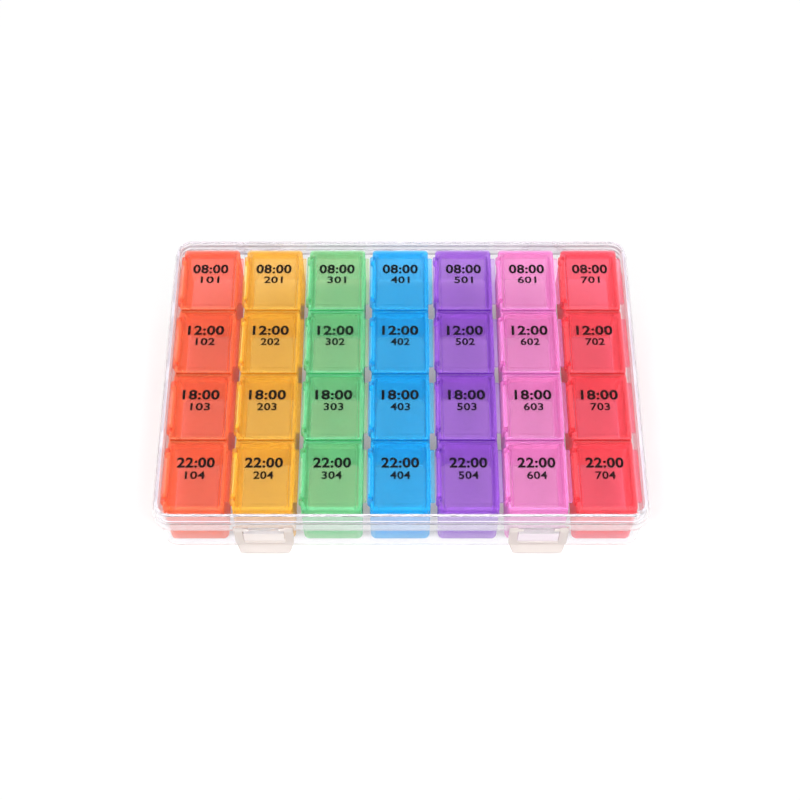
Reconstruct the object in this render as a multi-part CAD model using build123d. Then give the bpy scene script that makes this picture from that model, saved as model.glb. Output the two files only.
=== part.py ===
from build123d import *
import os

# Weekly pill organizer: a clear hinged case that holds seven day trays,
# each with four compartments under their own snap lids.
# Millimetres. +X is the viewer's right, -Y is the latched front, +Z is up.
# The origin is the centre of the case's underside.

# Days from left to right, and doses from the back of the case to the front
days = ["monday", "tuesday", "wednesday", "thursday", "friday", "saturday", "sunday"]
doses = ["morning", "noon", "evening", "bedtime"]

# Grid of compartments: the room between one day's thumb tabs and the next day's hinges, and the row pitch
column_gap = 0.5
dose_pitch = 34.9

# Day tray
tray_width = 26.8
tray_height = 25.2
tray_wall = 1.2
tray_floor = 1.4
tray_corner = 2.6
tray_edge = 1.2
partition = 1.2
well_corner = 3.0
well_scoop = 2.4

# Compartment lid: a shallow cap with a raised plateau and a plug inside the compartment
lid_gap = 0.5
cap_height = 2.9
cap_skin = 1.2
cap_corner = 1.6
cap_edge = 1.0
plateau_inset = 2.6
plateau_rise = 0.5
plateau_corner = 1.2
plateau_edge = 0.4
plug_wall = 1.0
plug_depth = 2.4
plug_gap = 0.35

# Thumb tab on the right side of a compartment lid
tab_reach = 2.0
tab_length = 26.0
tab_thickness = 1.1
tab_corner = 0.8
tab_lift = 0.5

# Moulded hinge on the left side of a compartment lid
knuckle_radius = 1.2
knuckle_length = 22.0
knuckle_lift = 0.25
lug_length = 2.0
lug_drop = 3.6
lug_gap = 0.3
pin_radius = 0.7
pin_length = 1.6
pin_clearance = 0.07
pin_end_gap = 0.3
hinge_end_gap = 0.2

# Clear case
case_wall = 1.5
base_floor = 1.6
case_top = 1.6
case_corner = 7.0
base_edge = 3.0
floor_edge = 0.9
lid_edge = 1.8
tray_side_gap = 0.6
tray_front_gap = 2.4
tray_back_gap = 0.8
headroom = 2.2

# Apron of the case lid, which laps over the outside of the base wall
apron_wall = 1.4
apron_gap = 0.3
apron_height = 5.1
step_height = 1.4
step_edge = 0.6
notch_height = 3.1
notch_side_gap = 0.4

# Case hinge at the back: base lugs that carry the lid's trunnions
case_hinge_x = 70.0
case_knuckle_radius = 2.4
case_knuckle_length = 14.0
case_lug_length = 4.0
case_lug_drop = 7.0
case_lug_toe = 1.6
case_hinge_gap = 0.3
case_hinge_drop = 0.7
case_hinge_end_gap = 0.3
web_height = 3.0
trunnion_radius = 1.2
trunnion_length = 3.0
trunnion_clearance = 0.07
trunnion_end_gap = 0.3

# Latch: a U-shaped clip that swings on the lid's hasp tongue
latch_x = 61.0
tongue_width = 18.0
tongue_side_gap = 0.3
tongue_wall_gap = 0.5
tongue_bevel = 0.8
arm_width = 3.7
ear_radius = 1.4
ear_gap = 0.35
latch_drop = 15.05
latch_corner = 5.0
crossbar_height = 4.5
crossbar_thickness = 1.6
crossbar_gap = 0.6
lip_reach = 3.2
lip_height = 2.6
lip_thickness = 0.9
catch_reach = 1.5
catch_height = 1.6
catch_gap = 0.4
hook_height = 1.6
hook_gap = 0.3
hook_wall_gap = 0.5
hook_end_gap = 1.0
latch_pin_radius = 0.8
latch_pin_length = 2.4
latch_pin_clearance = 0.07
latch_pin_end_gap = 0.3

# Heights that follow from the stack of pieces
rim_z = base_floor + tray_height
cap_z = rim_z + cap_height
plateau_z = cap_z + plateau_rise
lid_under_z = plateau_z + headroom
case_height = lid_under_z + case_top
apron_z = rim_z - apron_height
step_z = rim_z + step_height

# Plan sizes that follow from the grid and its clearances
well_width = tray_width - 2 * tray_wall
well_length = dose_pitch - partition
tray_length = (len(doses) - 1) * dose_pitch + well_length + 2 * tray_wall
lid_length = dose_pitch - lid_gap
hinge_reach = tray_width / 2 + knuckle_radius
tab_edge = tray_width / 2 + tab_reach
day_pitch = hinge_reach + tab_edge + column_gap
inner_width = (len(days) - 1) * day_pitch + hinge_reach + tab_edge + 2 * tray_side_gap
inner_depth = tray_length + tray_front_gap + tray_back_gap
base_width = inner_width + 2 * case_wall
base_depth = inner_depth + 2 * case_wall
apron_reach = apron_gap + apron_wall
wall_y = base_depth / 2

# Places of the trays and compartments
day_x = [(hinge_reach - tab_edge) / 2 + (i - (len(days) - 1) / 2) * day_pitch for i in range(len(days))]
tray_y = (tray_front_gap - tray_back_gap) / 2
dose_y = [tray_y + ((len(doses) - 1) / 2 - j) * dose_pitch for j in range(len(doses))]

# Axes of the hinges
knuckle_x = -tray_width / 2
knuckle_z = rim_z + knuckle_lift + knuckle_radius
case_axis_y = wall_y + apron_reach + case_hinge_gap + case_knuckle_radius
case_axis_z = apron_z - case_hinge_drop
latch_axis_y = -(wall_y + tongue_wall_gap + ear_radius)
latch_axis_z = apron_z + notch_height - ear_gap - ear_radius


def rounded_block(width, depth, low, high, corner):
    """Upright block with rounded vertical corners, from one height to another."""
    return Pos(0, 0, low) * extrude(RectangleRounded(width, depth, corner), high - low)


def along_x(section, start, length):
    """Solid of one (y, z) section, from start towards +X."""
    return extrude(Plane.YZ.offset(start) * section, length)


def along_y(section, start, length):
    """Solid of one (x, z) section, from start towards +Y."""
    return extrude(Plane.XZ.offset(-start - length) * section, length)


def outline(*points):
    """Closed flat outline through the given points."""
    return make_face(Polyline(*points, close=True))


def low_edges(solid):
    """Edges of the lowest level of a solid."""
    return solid.edges().group_by(Axis.Z)[0]


def high_edges(solid):
    """Edges of the highest level of a solid."""
    return solid.edges().group_by(Axis.Z)[-1]


def both_ends(reach):
    """The two signs and places of what stands at each end of a hinge."""
    return [(side, side * reach) for side in (-1, 1)]


def case_base():
    """Open box with the hinge lugs on its back wall and the latch catches on its front wall."""
    box = rounded_block(base_width, base_depth, 0, rim_z, case_corner)
    box = fillet(low_edges(box), base_edge)
    cavity = rounded_block(inner_width, inner_depth, base_floor, rim_z, case_corner - case_wall)
    box -= fillet(low_edges(cavity), floor_edge)
    for x in (-latch_x, latch_x):
        box += latch_catch(x)
    for x in (-case_hinge_x, case_hinge_x):
        for side, offset in both_ends(case_knuckle_length / 2 + case_hinge_end_gap + case_lug_length / 2):
            box += case_lug(x + offset, side)
    return box


def case_lug(x, side):
    """Base lug round one trunnion, blind on its outer side, with a gusset down the back wall."""
    barrel = Pos(case_axis_y, case_axis_z) * Circle(case_knuckle_radius)
    lug_top = apron_z - case_hinge_gap
    root_y = wall_y - case_wall / 2
    gusset = outline(
        (root_y, lug_top),
        (case_axis_y, lug_top),
        (case_axis_y + case_lug_toe, case_axis_z - case_lug_toe),
        (wall_y, case_axis_z - case_lug_drop),
        (root_y, case_axis_z - case_lug_drop),
    )
    lug = along_x(barrel + gusset, x - case_lug_length / 2, case_lug_length)
    bore = Pos(case_axis_y, case_axis_z) * Circle(trunnion_radius + trunnion_clearance)
    depth = trunnion_length - case_hinge_end_gap + trunnion_end_gap
    mouth = x - side * case_lug_length / 2
    return lug - along_x(bore, min(mouth, mouth + side * depth), depth)


def latch_catch(x):
    """Wedge on the front wall that the latch hooks under."""
    top = tongue_z() - catch_gap
    wedge = outline(
        (-wall_y + case_wall / 2, top),
        (-wall_y, top),
        (-wall_y - catch_reach, top - catch_height / 2),
        (-wall_y - catch_reach, top - catch_height),
        (-wall_y + case_wall / 2, top - catch_height),
    )
    return along_x(wedge, x - tongue_width / 2, tongue_width)


def tongue_z():
    """Lower end of the hasp tongue, just above the latch's crossbar."""
    return latch_axis_z - latch_drop + crossbar_height + crossbar_gap


def case_lid():
    """Clear cover with its apron, two hinge knuckles at the back and two hasp tongues in front."""
    cover = rounded_block(base_width, base_depth, rim_z, case_height, case_corner)
    cover = fillet(high_edges(cover), lid_edge)
    apron_width = base_width + 2 * apron_reach
    apron_depth = base_depth + 2 * apron_reach
    apron = rounded_block(apron_width, apron_depth, apron_z, step_z, case_corner + apron_reach)
    cover += fillet(high_edges(apron), step_edge)
    cover -= rounded_block(inner_width, inner_depth, rim_z, lid_under_z, case_corner - case_wall)
    lap_width = base_width + 2 * apron_gap
    lap_depth = base_depth + 2 * apron_gap
    cover -= rounded_block(lap_width, lap_depth, apron_z, rim_z, case_corner + apron_gap)
    notch_width = tongue_side_gap + arm_width + notch_side_gap
    notch_front = outline(
        (-wall_y - 2 * apron_reach, apron_z),
        (-wall_y, apron_z),
        (-wall_y, apron_z + notch_height),
        (-wall_y - 2 * apron_reach, apron_z + notch_height),
    )
    for x in (-latch_x, latch_x):
        cover -= along_x(notch_front, x - tongue_width / 2 - notch_width, notch_width)
        cover -= along_x(notch_front, x + tongue_width / 2, notch_width)
        cover = cover + hasp_tongue(x) - hasp_bores(x)
    for x in (-case_hinge_x, case_hinge_x):
        cover += case_knuckle(x)
    return cover


def hasp_tongue(x):
    """Tongue that hangs from the apron and carries the latch's pins."""
    near = latch_axis_y + ear_radius
    far = latch_axis_y - ear_radius
    apron_mid = -wall_y - apron_gap - apron_wall / 2
    tongue = outline(
        (near, tongue_z()),
        (far + tongue_bevel, tongue_z()),
        (far, tongue_z() + tongue_bevel),
        (far, apron_z),
        (-wall_y - apron_reach, apron_z + notch_height),
        (apron_mid, apron_z + notch_height),
        (apron_mid, apron_z),
        (near, apron_z),
    )
    return along_x(tongue, x - tongue_width / 2, tongue_width)


def hasp_bores(x):
    """Two blind holes in the sides of a hasp tongue."""
    hole = Pos(latch_axis_y, latch_axis_z) * Circle(latch_pin_radius + latch_pin_clearance)
    depth = latch_pin_length - tongue_side_gap + latch_pin_end_gap
    left = along_x(hole, x - tongue_width / 2, depth)
    right = along_x(hole, x + tongue_width / 2 - depth, depth)
    return left + right


def case_knuckle(x):
    """Knuckle on a web behind the apron, with a trunnion at each end."""
    barrel = Pos(case_axis_y, case_axis_z) * Circle(case_knuckle_radius)
    root_y = wall_y + apron_gap + apron_wall / 2
    web = outline(
        (root_y, apron_z),
        (case_axis_y, case_axis_z),
        (case_axis_y, case_axis_z + case_knuckle_radius),
        (root_y, apron_z + web_height),
    )
    knuckle = along_x(barrel + web, x - case_knuckle_length / 2, case_knuckle_length)
    pin = Pos(case_axis_y, case_axis_z) * Circle(trunnion_radius)
    span = case_knuckle_length + 2 * trunnion_length
    return knuckle + along_x(pin, x - span / 2, span)


def latch(x):
    """U-shaped clip: two arms with pins, a crossbar with a finger lip, and a hook behind it."""
    low = latch_axis_z - latch_drop
    top = low + crossbar_height
    inner_y = -wall_y - catch_reach - catch_gap
    outer_y = inner_y - crossbar_thickness
    lip_y = outer_y - lip_reach
    hook_top = tongue_z() - catch_gap - catch_height - hook_gap
    width = tongue_width + 2 * (tongue_side_gap + arm_width)

    crossbar = outline(
        (inner_y, top),
        (outer_y, top),
        (outer_y, low + lip_height),
        (lip_y, low + lip_thickness),
        (lip_y, low),
        (lip_y + lip_thickness, low),
        (inner_y, hook_top - hook_height),
    )
    clip = along_x(crossbar, x - width / 2, width)
    hook = outline(
        (inner_y - crossbar_thickness / 2, hook_top),
        (-wall_y - hook_wall_gap, hook_top),
        (-wall_y - hook_wall_gap, hook_top - hook_height / 2),
        (inner_y, hook_top - hook_height),
        (inner_y - crossbar_thickness / 2, hook_top - hook_height),
    )
    hook_width = tongue_width - 2 * hook_end_gap
    clip += along_x(hook, x - hook_width / 2, hook_width)

    ear = Pos(latch_axis_y, latch_axis_z) * Circle(ear_radius)
    arm = ear + outline(
        (latch_axis_y + ear_radius, latch_axis_z),
        (latch_axis_y - ear_radius, latch_axis_z),
        (outer_y, top),
        (outer_y, low + lip_height),
        (inner_y, low + lip_height),
        (inner_y, top),
    )
    pin = Pos(latch_axis_y, latch_axis_z) * Circle(latch_pin_radius)
    for side in (-1, 1):
        inside = x + side * (tongue_width / 2 + tongue_side_gap)
        clip += along_x(arm, min(inside, inside + side * arm_width), arm_width)
        tip = inside - side * latch_pin_length
        clip += along_x(pin, min(tip, inside), latch_pin_length)

    tall = latch_drop + ear_radius + latch_corner
    frame = Pos(x, low + tall / 2) * RectangleRounded(width, tall, latch_corner)
    return clip & along_y(frame, lip_y, -lip_y)


def day_tray(x):
    """One day's tray: four scooped compartments, with hinge lugs along the left wall."""
    tray = Pos(0, tray_y, 0) * rounded_block(tray_width, tray_length, base_floor, rim_z, tray_corner)
    tray = fillet(low_edges(tray), tray_edge)
    well = rounded_block(well_width, well_length, base_floor + tray_floor, rim_z, well_corner)
    well = fillet(low_edges(well), well_scoop)
    lug_place = knuckle_length / 2 + hinge_end_gap + lug_length / 2
    for y in dose_y:
        tray -= Pos(0, y, 0) * well
        for side, offset in both_ends(lug_place):
            tray += tray_lug(y + offset, side)
    return Pos(x, 0, 0) * tray


def tray_lug(y, side):
    """Lug on the tray's left rim with a pin that points into the lid's knuckle."""
    head = Pos(knuckle_x, knuckle_z) * Circle(knuckle_radius)
    stem = outline(
        (knuckle_x - knuckle_radius, knuckle_z),
        (knuckle_x + knuckle_radius, knuckle_z),
        (knuckle_x + tray_wall, rim_z),
        (knuckle_x + tray_wall / 2, rim_z - lug_drop),
        (knuckle_x, rim_z - lug_drop),
        (knuckle_x - knuckle_radius, rim_z - lug_drop + 2 * knuckle_radius),
    )
    lug = along_y(head + stem, y - lug_length / 2, lug_length)
    pin = Pos(knuckle_x, knuckle_z) * Circle(pin_radius)
    mouth = y - side * lug_length / 2
    tip = mouth - side * (pin_length + hinge_end_gap)
    return lug + along_y(pin, min(mouth, tip), abs(tip - mouth))


def compartment_lid():
    """Snap lid over one compartment, drawn about the middle of its tray."""
    cap = rounded_block(tray_width, lid_length, rim_z, cap_z, cap_corner)
    cap = fillet(high_edges(cap), cap_edge)
    plateau_width = tray_width - 2 * plateau_inset
    plateau_length = lid_length - 2 * plateau_inset
    plateau = rounded_block(plateau_width, plateau_length, cap_z - cap_skin / 2, plateau_z, plateau_corner)
    cap += fillet(high_edges(plateau), plateau_edge)
    cap += thumb_tab()

    plug_width = well_width - 2 * plug_gap
    plug_length = well_length - 2 * plug_gap
    plug_corner = well_corner - plug_gap
    cap += rounded_block(plug_width, plug_length, rim_z - plug_depth, rim_z, plug_corner)
    core_corner = plug_corner - plug_wall
    core_width = plug_width - 2 * plug_wall
    core_length = plug_length - 2 * plug_wall
    cap -= rounded_block(core_width, core_length, rim_z - plug_depth, cap_z - cap_skin, core_corner)
    hollow_width = plateau_width - 2 * plateau_rise
    hollow_length = plateau_length - 2 * plateau_rise
    hollow_corner = plateau_corner - plateau_rise
    cap -= rounded_block(hollow_width, hollow_length, rim_z, plateau_z - cap_skin, hollow_corner)

    barrel = Pos(knuckle_x, knuckle_z) * Circle(knuckle_radius)
    cap += along_y(barrel, -knuckle_length / 2, knuckle_length)
    bore = Pos(knuckle_x, knuckle_z) * Circle(pin_radius + pin_clearance)
    bore_depth = pin_length + pin_end_gap
    notch_length = hinge_end_gap + lug_length + lug_gap
    notch_width = knuckle_radius + lug_gap
    for side, end in both_ends(knuckle_length / 2):
        cap -= along_y(bore, min(end, end - side * bore_depth), bore_depth)
        notch = Box(2 * notch_width, notch_length, 2 * cap_height)
        cap -= Pos(knuckle_x, end + side * notch_length / 2, cap_z) * notch
    return cap


def thumb_tab():
    """Thin tab along the right edge of a compartment lid."""
    low = rim_z + tab_lift
    tab = rounded_block(2 * tab_reach + cap_skin, tab_length, low, low + tab_thickness, tab_corner)
    return Pos(tray_width / 2 - cap_skin / 2, 0, 0) * tab


os.makedirs("parts", exist_ok=True)
export_step(case_base(), "parts/case_base.step")
export_step(case_lid(), "parts/case_lid.step")
export_step(latch(-latch_x), "parts/left_latch.step")
export_step(latch(latch_x), "parts/right_latch.step")
snap_lid = compartment_lid()
for day, x in zip(days, day_x):
    export_step(day_tray(x), f"parts/{day}_tray.step")
    for dose, y in zip(doses, dose_y):
        export_step(Pos(x, y, 0) * snap_lid, f"parts/{day}_{dose}_lid.step")
case_size = (base_width + 2 * apron_reach, base_depth + 2 * apron_reach, case_height)
print("case", *(round(side, 2) for side in case_size))
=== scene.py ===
import math
from functools import partial

import bpy
import numpy as np
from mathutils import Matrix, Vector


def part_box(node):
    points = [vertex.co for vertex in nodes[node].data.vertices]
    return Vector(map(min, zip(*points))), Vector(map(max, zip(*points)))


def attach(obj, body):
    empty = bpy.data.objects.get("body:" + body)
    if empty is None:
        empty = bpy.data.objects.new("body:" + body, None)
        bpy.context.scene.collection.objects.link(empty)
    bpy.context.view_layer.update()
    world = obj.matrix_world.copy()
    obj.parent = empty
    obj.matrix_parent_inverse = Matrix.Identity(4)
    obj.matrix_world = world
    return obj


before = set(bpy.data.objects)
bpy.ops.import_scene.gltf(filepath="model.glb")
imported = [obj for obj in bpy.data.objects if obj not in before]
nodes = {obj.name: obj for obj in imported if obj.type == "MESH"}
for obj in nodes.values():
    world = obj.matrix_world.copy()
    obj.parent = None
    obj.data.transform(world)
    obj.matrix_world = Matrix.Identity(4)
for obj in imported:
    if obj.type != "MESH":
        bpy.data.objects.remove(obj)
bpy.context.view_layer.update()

# Case base: a shallow open box with hinge lugs behind and latch catches in front.
# Injection moulded in clear polypropylene against a polished steel mould, so it is glassy
# with a faint haze, and light that is caught in a wall comes out white along its edges.


def linear(hex_colour):
    """sRGB hex to linear colour: the sRGB curve undone for each channel, with alpha 1."""
    srgb = np.array([int(hex_colour[i:i + 2], 16) for i in (0, 2, 4)]) / 255
    curve = np.where(srgb <= 0.04045, srgb / 12.92, ((srgb + 0.055) / 1.055) ** 2.4)
    return (*curve.tolist(), 1.0)


def add(tree, kind, inputs=(), **settings):
    """Adds one node: settings are its own properties, inputs give a socket a value or a link."""
    node = tree.nodes.new(kind)
    for name, value in settings.items():
        setattr(node, name, value)
    for socket, value in dict(inputs).items():
        if isinstance(value, bpy.types.NodeSocket):
            tree.links.new(value, node.inputs[socket])
        else:
            node.inputs[socket].default_value = value
    return node


def compute(tree, operation, *values):
    """The result of one Math node on numbers or links."""
    return add(tree, "ShaderNodeMath", enumerate(values), operation=operation).outputs[0]


def ranged(tree, value, low, high, start=0.0, end=1.0):
    """A value scaled so that start to end becomes low to high, and held beyond them."""
    limits = {"From Min": start, "From Max": end, "To Min": low, "To Max": high}
    return add(tree, "ShaderNodeMapRange", {"Value": value, **limits}).outputs["Result"]


def noise(tree, place, millimetres, detail):
    """Noise from 0 to 1 with features of this size, on Object coordinates in metres."""
    grain = {"Vector": place, "Scale": 1000 / millimetres, "Detail": detail}
    return add(tree, "ShaderNodeTexNoise", grain).outputs["Fac"]


def slant(tree, power):
    """How flat a ray meets the surface, 0 straight on and 1 edge on: one less the cosine of
    its angle to the normal, raised to a power."""
    facing = add(tree, "ShaderNodeLayerWeight", {"Blend": 0.5}).outputs["Facing"]
    return compute(tree, "POWER", facing, power)


def mixed(tree, share, first, second):
    """Two shaders in one, with this share of the second."""
    return add(tree, "ShaderNodeMixShader", {0: share, 1: first, 2: second}).outputs[0]


def new_material(name):
    """An empty node material and its tree."""
    material = bpy.data.materials.new(name)
    material.use_nodes = True
    material.node_tree.nodes.clear()
    return material, material.node_tree


def dress(node, material):
    """Gives a CAD node one material on all its slots."""
    slots = nodes[node].data.materials
    slots.clear()
    slots.append(material)


def clear_moulding(
    name, milk, reach, milk_colour="efecf0", polish=(0.03, 0.06), flow_mm=18, sheet=None, stout=()
):
    """Undyed polypropylene: it refracts, with a polish that drifts along the flow of the melt.
    A milky share scatters in the wall and grows towards grazing angles, by reach, as the way
    through the wall gets longer. Above the height in sheet the plastic is thinner and has the
    reach that is given there. Below each height in stout it is thicker, and that share of what
    is left scatters too. A ray that stays caught in a wall ends on the milky share as well, and
    lamps shine straight through. The IOR is below the usual 1.49, as thin walls show less of
    the room than a solid block does."""
    clear_edge_on = 0.15
    caught_after = 5.5
    thin_wall_ior = 1.3
    material, tree = new_material(name)
    place = add(tree, "ShaderNodeTexCoord").outputs["Object"]
    height = add(tree, "ShaderNodeSeparateXYZ", {0: place}).outputs["Z"]
    ray = add(tree, "ShaderNodeLightPath").outputs
    if sheet:
        sheet_height, sheet_reach = sheet
        above = compute(tree, "GREATER_THAN", height, sheet_height)
        reach = ranged(tree, above, reach, sheet_reach)
    clear = ranged(tree, slant(tree, reach), 1.0 - milk, clear_edge_on)
    for stout_height, share in stout:
        above = compute(tree, "GREATER_THAN", height, stout_height)
        clear = compute(tree, "MULTIPLY", clear, ranged(tree, above, 1.0 - share, 1.0))
    free = compute(tree, "LESS_THAN", ray["Ray Depth"], caught_after)
    clear = compute(tree, "MULTIPLY", clear, free)
    colour = add(
        tree,
        "ShaderNodeMixRGB",
        {"Fac": clear, "Color1": linear(milk_colour), "Color2": linear("fcfcfd")},
    )
    plastic = add(
        tree,
        "ShaderNodeBsdfPrincipled",
        {
            "Base Color": colour.outputs["Color"],
            "Roughness": ranged(tree, noise(tree, place, flow_mm, detail=1.0), *polish),
            "IOR": thin_wall_ior,
            "Transmission Weight": clear,
        },
    )
    lamps_pass = add(tree, "ShaderNodeBsdfTransparent", {"Color": linear("fcfcfc")})
    wall = mixed(tree, ray["Is Shadow Ray"], plastic.outputs[0], lamps_pass.outputs[0])
    add(tree, "ShaderNodeOutputMaterial", {"Surface": wall})
    return material


clear_polypropylene = clear_moulding("clear_polypropylene", milk=0.004, reach=8.0)
dress("case_base", clear_polypropylene)

# Day trays: one moulding for each day, four scooped compartments in a row.
# Translucent polypropylene, dyed in the mass. One wall is a clear tint with a soft haze,
# and walls seen edge on, or several deep, turn to the full colour.
MM = 0.001


def tinted_moulding(name, body, through, haze, reach, onward, depth=1.0, painted_edge_light=None):
    """Dyed polypropylene in thin walls: light goes straight through them, tinted, but for a
    milky share that scatters. It is haze where a wall is seen straight on and grows to one at
    grazing angles, by reach, as the way through gets longer. The share onward of what scatters
    goes on to the far side, and the rest comes back. The dye counts to the power of depth,
    which is more in a thicker wall. Flow marks shift it by a few percent, the polish drifts
    with them, and the cooling skin leaves a shallow orange peel, drawn coarser than the real
    one so that it shows. What the skin mirrors grows with the fifth power of the slant. An
    optional function for the edges may paint a highlight and a shade along a piece's edges,
    as painted light, by changing the colour and the milky share there."""
    flow_mm = 14
    dye_drift = (0.93, 1.07)
    polish = (0.1, 0.18)
    peel_mm = 2.5
    peel_depth = 0.02 * MM
    peel_strength = 0.35
    mirror_share = (0.012, 0.3)
    material, tree = new_material(name)
    place = add(tree, "ShaderNodeTexCoord").outputs["Object"]
    flow = noise(tree, place, flow_mm, detail=1.0)
    dye = add(
        tree,
        "ShaderNodeVectorMath",
        {0: np.array(linear(body)[:3]) ** depth, "Scale": ranged(tree, flow, *dye_drift)},
        operation="SCALE",
    )
    colour = dye.outputs["Vector"]
    milky = ranged(tree, slant(tree, reach), haze, 1.0)
    # Painted light: the edge function may paint a highlight and a dark shade along the edges.
    if painted_edge_light:
        colour, milky = painted_edge_light(tree, place, colour, milky)
    peel = noise(tree, place, peel_mm, detail=0.0)
    bump = {"Height": peel, "Distance": peel_depth, "Strength": peel_strength}
    skin = add(tree, "ShaderNodeBump", bump).outputs["Normal"]
    back = add(tree, "ShaderNodeBsdfDiffuse", {"Color": colour, "Normal": skin})
    far = add(tree, "ShaderNodeBsdfTranslucent", {"Color": colour, "Normal": skin})
    clear = add(tree, "ShaderNodeBsdfTransparent", {"Color": linear(through)})
    milk = mixed(tree, onward, back.outputs[0], far.outputs[0])
    wall = mixed(tree, milky, clear.outputs[0], milk)
    rough = ranged(tree, flow, *polish)
    shine = add(tree, "ShaderNodeBsdfGlossy", {"Roughness": rough, "Normal": skin})
    mirror = ranged(tree, slant(tree, 5.0), *mirror_share)
    surface = mixed(tree, mirror, wall, shine.outputs[0])
    add(tree, "ShaderNodeOutputMaterial", {"Surface": surface})
    return material


day_tints = {
    "monday": ("ff8952", "fee2e6"),
    "tuesday": ("ffc742", "fef9e5"),
    "wednesday": ("77eaaa", "fcf5ea"),
    "thursday": ("00c4ff", "dff7fd"),
    "friday": ("a660e1", "fcf3fd"),
    "saturday": ("ffa4ed", "fef0f5"),
    "sunday": ("ff666b", "fee2ed"),
}
tray_polypropylene = {
    day: tinted_moulding(
        f"{day}_tray_polypropylene", body, through, haze=0.22, reach=2.0, onward=0.3, depth=1.2
    )
    for day, (body, through) in day_tints.items()
}
for day, plastic in tray_polypropylene.items():
    dress(f"{day}_tray", plastic)

# Compartment lids: shallow caps with a raised panel, moulded in the colour of their tray.
# Each one snaps onto the lugs of its tray on the left and has a thumb tab on the right. Their
# rounded edges carry a painted highlight, and the grooves between them a painted shade.
cap_half = 13.4 * MM
cap_margin = 0.3 * MM
tab_reach = 15.4 * MM
# Painted highlight: the width and milky share of the light band along each cap's edge.
painted_highlight_band = (2.6 * MM, 0.5 * MM)
painted_highlight_milk = 0.34
# Painted shade: the width and darkness of the groove between two lids.
painted_groove_shade_band = (0.35 * MM, 0.1 * MM)
painted_groove_shade_milk = 0.85
row_end = 0.5 * MM
dose_hours = {"morning": "08:00", "noon": "12:00", "evening": "18:00", "bedtime": "22:00"}


def painted_lid_edge_light(tree, place, colour, milky, middle, half, pitch, ends, painted_shade_colour):
    """Painted light along a lid's edges: the outer two millimetres of the cap are made milkier by
    position, a painted highlight that stands in for light running inside the lid and coming out
    at its edge, and the groove between two lids gets a deep, dark colour, a painted shade. The
    distance from a lid's edge is half its size less the distance from the middle of the nearest
    lid in the row, and the ends of the row have no groove."""
    spot = add(tree, "ShaderNodeSeparateXYZ", {0: place}).outputs
    from_middle = compute(tree, "ABSOLUTE", compute(tree, "SUBTRACT", spot["X"], middle[0]))
    across = compute(tree, "SUBTRACT", half[0], from_middle)
    row = compute(tree, "SUBTRACT", spot["Y"], middle[1])
    in_pitch = compute(tree, "SUBTRACT", compute(tree, "WRAP", row, pitch, 0.0), pitch / 2)
    along = compute(tree, "SUBTRACT", half[1], compute(tree, "ABSOLUTE", in_pitch))
    inside = compute(tree, "MINIMUM", across, along)
    on_cap = compute(tree, "GREATER_THAN", across, -cap_margin)
    # Painted highlight along the cap's outer edge.
    painted_highlight = ranged(tree, inside, 0.0, painted_highlight_milk, *painted_highlight_band)
    painted_highlight = compute(tree, "MULTIPLY", painted_highlight, on_cap)
    between = compute(tree, "LESS_THAN", compute(tree, "ABSOLUTE", row), ends)
    # Painted shade in the groove between two lids, by position.
    painted_groove_shade = ranged(tree, along, 0.0, painted_groove_shade_milk, *painted_groove_shade_band)
    painted_groove_shade = compute(tree, "MULTIPLY", painted_groove_shade, between)
    shade = add(tree, "ShaderNodeMixRGB", {"Fac": painted_groove_shade, "Color1": colour, "Color2": painted_shade_colour})
    more = compute(tree, "MAXIMUM", painted_highlight, painted_groove_shade)
    return shade.outputs["Color"], compute(tree, "MAXIMUM", milky, more)


def painted_groove_shade_colour(hex_colour):
    """The colour deep in a groove, a painted shade: the dye crossed twice, and half of the light
    lost.
    """
    dye = np.array(linear(hex_colour)[:3])
    return (*(dye ** 2 / 2).tolist(), 1.0)


for day, (body, through) in day_tints.items():
    back_low, back_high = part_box(f"{day}_morning_lid")
    next_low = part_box(f"{day}_noon_lid")[0]
    front_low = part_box(f"{day}_bedtime_lid")[0]
    # Each day's lids get the painted edge highlight and the painted groove shade, placed from the
    # lids' boxes.
    painted_edge_light = partial(
        painted_lid_edge_light,
        middle=(back_high.x - tab_reach, (front_low.y + back_high.y) / 2),
        half=(cap_half, (back_high.y - back_low.y) / 2),
        pitch=back_low.y - next_low.y,
        ends=(back_high.y - front_low.y) / 2 - row_end,
        painted_shade_colour=painted_groove_shade_colour(body),
    )
    plastic = tinted_moulding(
        f"{day}_lid_polypropylene", body, through, haze=0.11, reach=2.5, onward=0.0, painted_edge_light=painted_edge_light
    )
    for dose in dose_hours:
        dress(f"{day}_{dose}_lid", plastic)

# Labels: black ink, pad printed in one hit on the raised panel of each compartment lid.
# The upper line is the hour of the dose. The lower line numbers the compartment: the day in
# the week, then the dose in the day.
ink_lift = 0.03 * MM
hour_line = {"top": 9.0 * MM, "height": 5.2 * MM, "width": 17.0 * MM, "bold": 0.03}
number_line = {"top": 15.9 * MM, "height": 3.9 * MM, "width": 9.0 * MM, "bold": 0.024}
letter_spacing = 1.06
letter_steps = 4


def letters(text, bold):
    """Flat letters as vertices and faces, thickened by moving their outline out by bold."""
    curve = bpy.data.curves.new("letters", "FONT")
    curve.body = text
    curve.offset = bold
    curve.space_character = letter_spacing
    curve.resolution_u = letter_steps
    holder = bpy.data.objects.new("letters", curve)
    mesh = bpy.data.meshes.new_from_object(holder)
    points = np.empty(len(mesh.vertices) * 3)
    mesh.vertices.foreach_get("co", points)
    faces = [tuple(face.vertices) for face in mesh.polygons]
    bpy.data.objects.remove(holder)
    bpy.data.curves.remove(curve)
    bpy.data.meshes.remove(mesh)
    return points.reshape(-1, 3), faces


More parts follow.
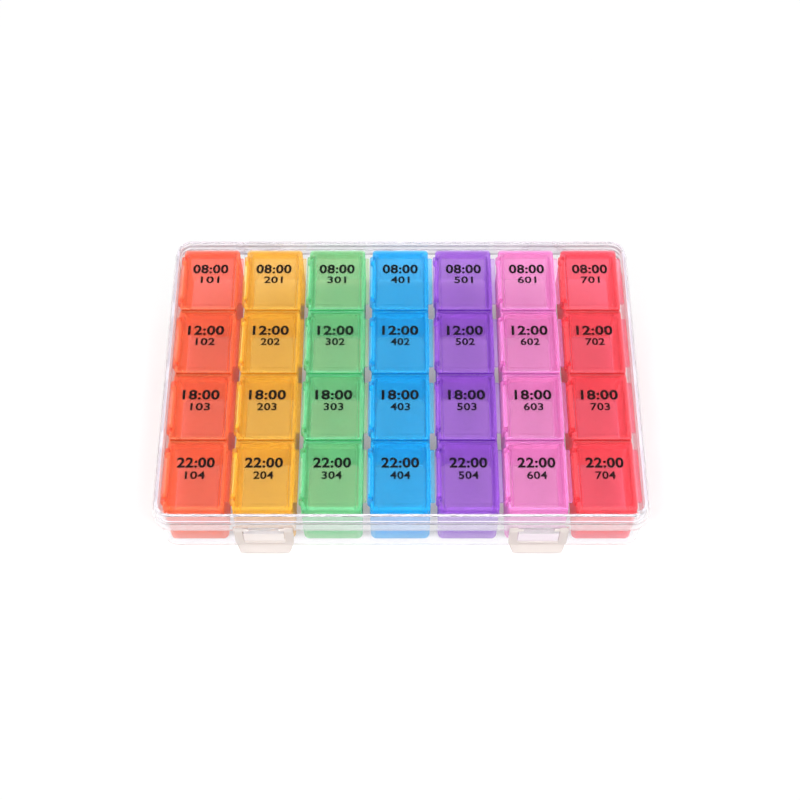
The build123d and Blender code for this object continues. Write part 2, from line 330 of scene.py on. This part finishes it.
def printed_line(text, line, centre_x, back_y, panel_z):
    """One line of print: its letters stretched to the line's box and laid on the panel."""
    points, faces = letters(text, line["bold"])
    low, high = points.min(0), points.max(0)
    stretch = np.array([line["width"], line["height"], 0.0]) / np.maximum(high - low, 1e-6)
    middle = np.array([(low[0] + high[0]) / 2, high[1], 0.0])
    corner = np.array([centre_x, back_y - line["top"], panel_z + ink_lift])
    return (points - middle) * stretch + corner, faces


def black_print_ink():
    """Pad printing ink: a film that is nearly black, matt, and a little thinner in patches."""
    patch_mm = 1.5
    film_shade = (0.3, 1.0)
    material, tree = new_material("black_pad_print_ink")
    place = add(tree, "ShaderNodeTexCoord").outputs["Object"]
    film = ranged(tree, noise(tree, place, patch_mm, detail=3.0), *film_shade)
    shade = add(
        tree,
        "ShaderNodeVectorMath",
        {0: linear("070506")[:3], "Scale": film},
        operation="SCALE",
    )
    ink = add(
        tree,
        "ShaderNodeBsdfPrincipled",
        {"Base Color": shade.outputs["Vector"], "Roughness": 0.7, "Specular IOR Level": 0.05},
    )
    add(tree, "ShaderNodeOutputMaterial", {"Surface": ink.outputs["BSDF"]})
    return material


ink = black_print_ink()
for day_number, day in enumerate(day_tints, start=1):
    for dose_number, (dose, hour) in enumerate(dose_hours.items(), start=1):
        lid = f"{day}_{dose}_lid"
        lid_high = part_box(lid)[1]
        spot = (lid_high.x - tab_reach, lid_high.y, lid_high.z)
        hour_points, hour_faces = printed_line(hour, hour_line, *spot)
        points, faces = printed_line(f"{day_number}0{dose_number}", number_line, *spot)
        below = [tuple(i + len(hour_points) for i in face) for face in faces]
        mesh = bpy.data.meshes.new(f"{lid}_label")
        mesh.from_pydata(np.vstack([hour_points, points]).tolist(), [], hour_faces + below)
        mesh.materials.append(ink)
        label = bpy.data.objects.new(f"{lid}_label", mesh)
        bpy.context.scene.collection.objects.link(label)
        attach(label, lid)

# Case lid: the clear cover, with an apron that laps over the base wall.
# Clear polypropylene like the base, in a thicker wall that turns white where it is seen at a
# slant. The apron is thicker than the top, and the hinge arms and hasp tongues below it more so.
top_sheet = 32.0 * MM
apron_top = 27.9 * MM
apron_bottom = 21.5 * MM
stout_polypropylene = clear_moulding(
    "stout_clear_polypropylene",
    milk=0.002,
    reach=2.5,
    sheet=(top_sheet, 7.0),
    stout=((apron_top, 0.05), (apron_bottom, 0.22)),
)
dress("case_lid", stout_polypropylene)

# Latches: two U-shaped clips that swing on the lid's hasp tongues and hook under the catches
# of the base. Undyed polypropylene again, thicker than the case and so much milkier, with a
# duller polish.
milky_polypropylene = clear_moulding(
    "milky_polypropylene", milk=0.6, reach=5.0, milk_colour="bdaca2", polish=(0.06, 0.12), flow_mm=8
)
for latch in ("left_latch", "right_latch"):
    dress(latch, milky_polypropylene)

# Studio: a white card under the object, a white room with a dark flag where the case lid
# would mirror it to the camera, and two soft boxes in front, above the object.
scene = bpy.context.scene
scene.view_settings.view_transform = "Standard"
scene.cycles.max_bounces = 32
scene.cycles.transmission_bounces = 32
scene.cycles.transparent_max_bounces = 64


def white_card():
    """White paper card: seen directly or through the plastic it partly glows by itself, and the
    rest of what is seen there is lit, so that the object's real shadow stays on it. The glow grows
    from an oval under the case to the open card, by the distance from the middle of the oval as
    a multiple of its half sizes, so that under the case the card is darker by painted shade as
    well as by its shadow."""
    oval_half = (0.125, 0.08)
    oval_forward = 0.012
    oval_edge = (1.0, 1.35)
    glow_share_with_painted_shade = (0.3, 0.92)
    material, tree = new_material("white_studio_card")
    ray = add(tree, "ShaderNodeLightPath").outputs
    seen = compute(tree, "MAXIMUM", ray["Is Camera Ray"], ray["Is Glossy Ray"])
    seen = compute(tree, "MAXIMUM", seen, ray["Is Transmission Ray"])
    place = add(tree, "ShaderNodeTexCoord").outputs["Object"]
    shrink = (1 / oval_half[0], 1 / oval_half[1], 0.0)
    shift = (0.0, oval_forward / oval_half[1], 0.0)
    oval = add(
        tree, "ShaderNodeVectorMath", {0: place, 1: shrink, 2: shift}, operation="MULTIPLY_ADD"
    )
    away = add(tree, "ShaderNodeVectorMath", {0: oval.outputs[0]}, operation="LENGTH")
    # Painted shade: the card glows less in the oval under the case.
    share = ranged(tree, away.outputs["Value"], *glow_share_with_painted_shade, *oval_edge)
    share = compute(tree, "MULTIPLY", seen, share)
    paper = add(tree, "ShaderNodeBsdfDiffuse", {"Color": linear("f4f4f4")})
    glow = add(tree, "ShaderNodeEmission", {"Color": linear("ffffff"), "Strength": 1.0})
    surface = mixed(tree, share, paper.outputs[0], glow.outputs[0])
    add(tree, "ShaderNodeOutputMaterial", {"Surface": surface})
    return material


card_half = 3.0
card_drop = 0.2 * MM
card_corners = [
    (x * card_half, y * card_half, -card_drop) for x, y in ((-1, -1), (1, -1), (1, 1), (-1, 1))
]
card_mesh = bpy.data.meshes.new("studio_card")
card_mesh.from_pydata(card_corners, [], [(0, 1, 2, 3)])
card_mesh.materials.append(white_card())
card = bpy.data.objects.new("studio_card", card_mesh)
scene.collection.objects.link(card)

camera_elevation = math.radians(60.71)
flag_direction = (0.0, math.cos(camera_elevation), math.sin(camera_elevation))
flag_edge = (0.82, 0.94)
flag_brightness = 0.15
world = bpy.data.worlds.new("white_room")
scene.world = world
world.use_nodes = True
room = world.node_tree
room.nodes.clear()
direction = add(room, "ShaderNodeTexCoord").outputs["Generated"]
flag = add(
    room, "ShaderNodeVectorMath", {0: direction, 1: flag_direction}, operation="DOT_PRODUCT"
)
brightness = ranged(room, flag.outputs["Value"], 1.0, flag_brightness, *flag_edge)
sky = add(room, "ShaderNodeBackground", {"Color": linear("ffffff"), "Strength": brightness})
add(room, "ShaderNodeOutputWorld", {"Surface": sky.outputs[0]})

for side in (-1, 1):
    soft_box = bpy.data.lights.new("soft_box", "AREA")
    soft_box.shape = "SQUARE"
    soft_box.size = 0.35
    soft_box.energy = 5.0
    soft_box_holder = bpy.data.objects.new("soft_box", soft_box)
    soft_box_holder.location = (side * 0.55, -0.45, 1.0)
    towards = -soft_box_holder.location
    soft_box_holder.rotation_euler = towards.to_track_quat("-Z", "Y").to_euler()
    scene.collection.objects.link(soft_box_holder)

camera = bpy.data.cameras.new("camera")
camera.sensor_width = 36.0
camera.lens = 64.81
camera_holder = bpy.data.objects.new("camera", camera)
camera_holder.location = (-0.0005, -0.3370, 0.6068)
camera_holder.rotation_euler = (math.pi / 2 - camera_elevation, 0, 0)
scene.collection.objects.link(camera_holder)
scene.camera = camera_holder
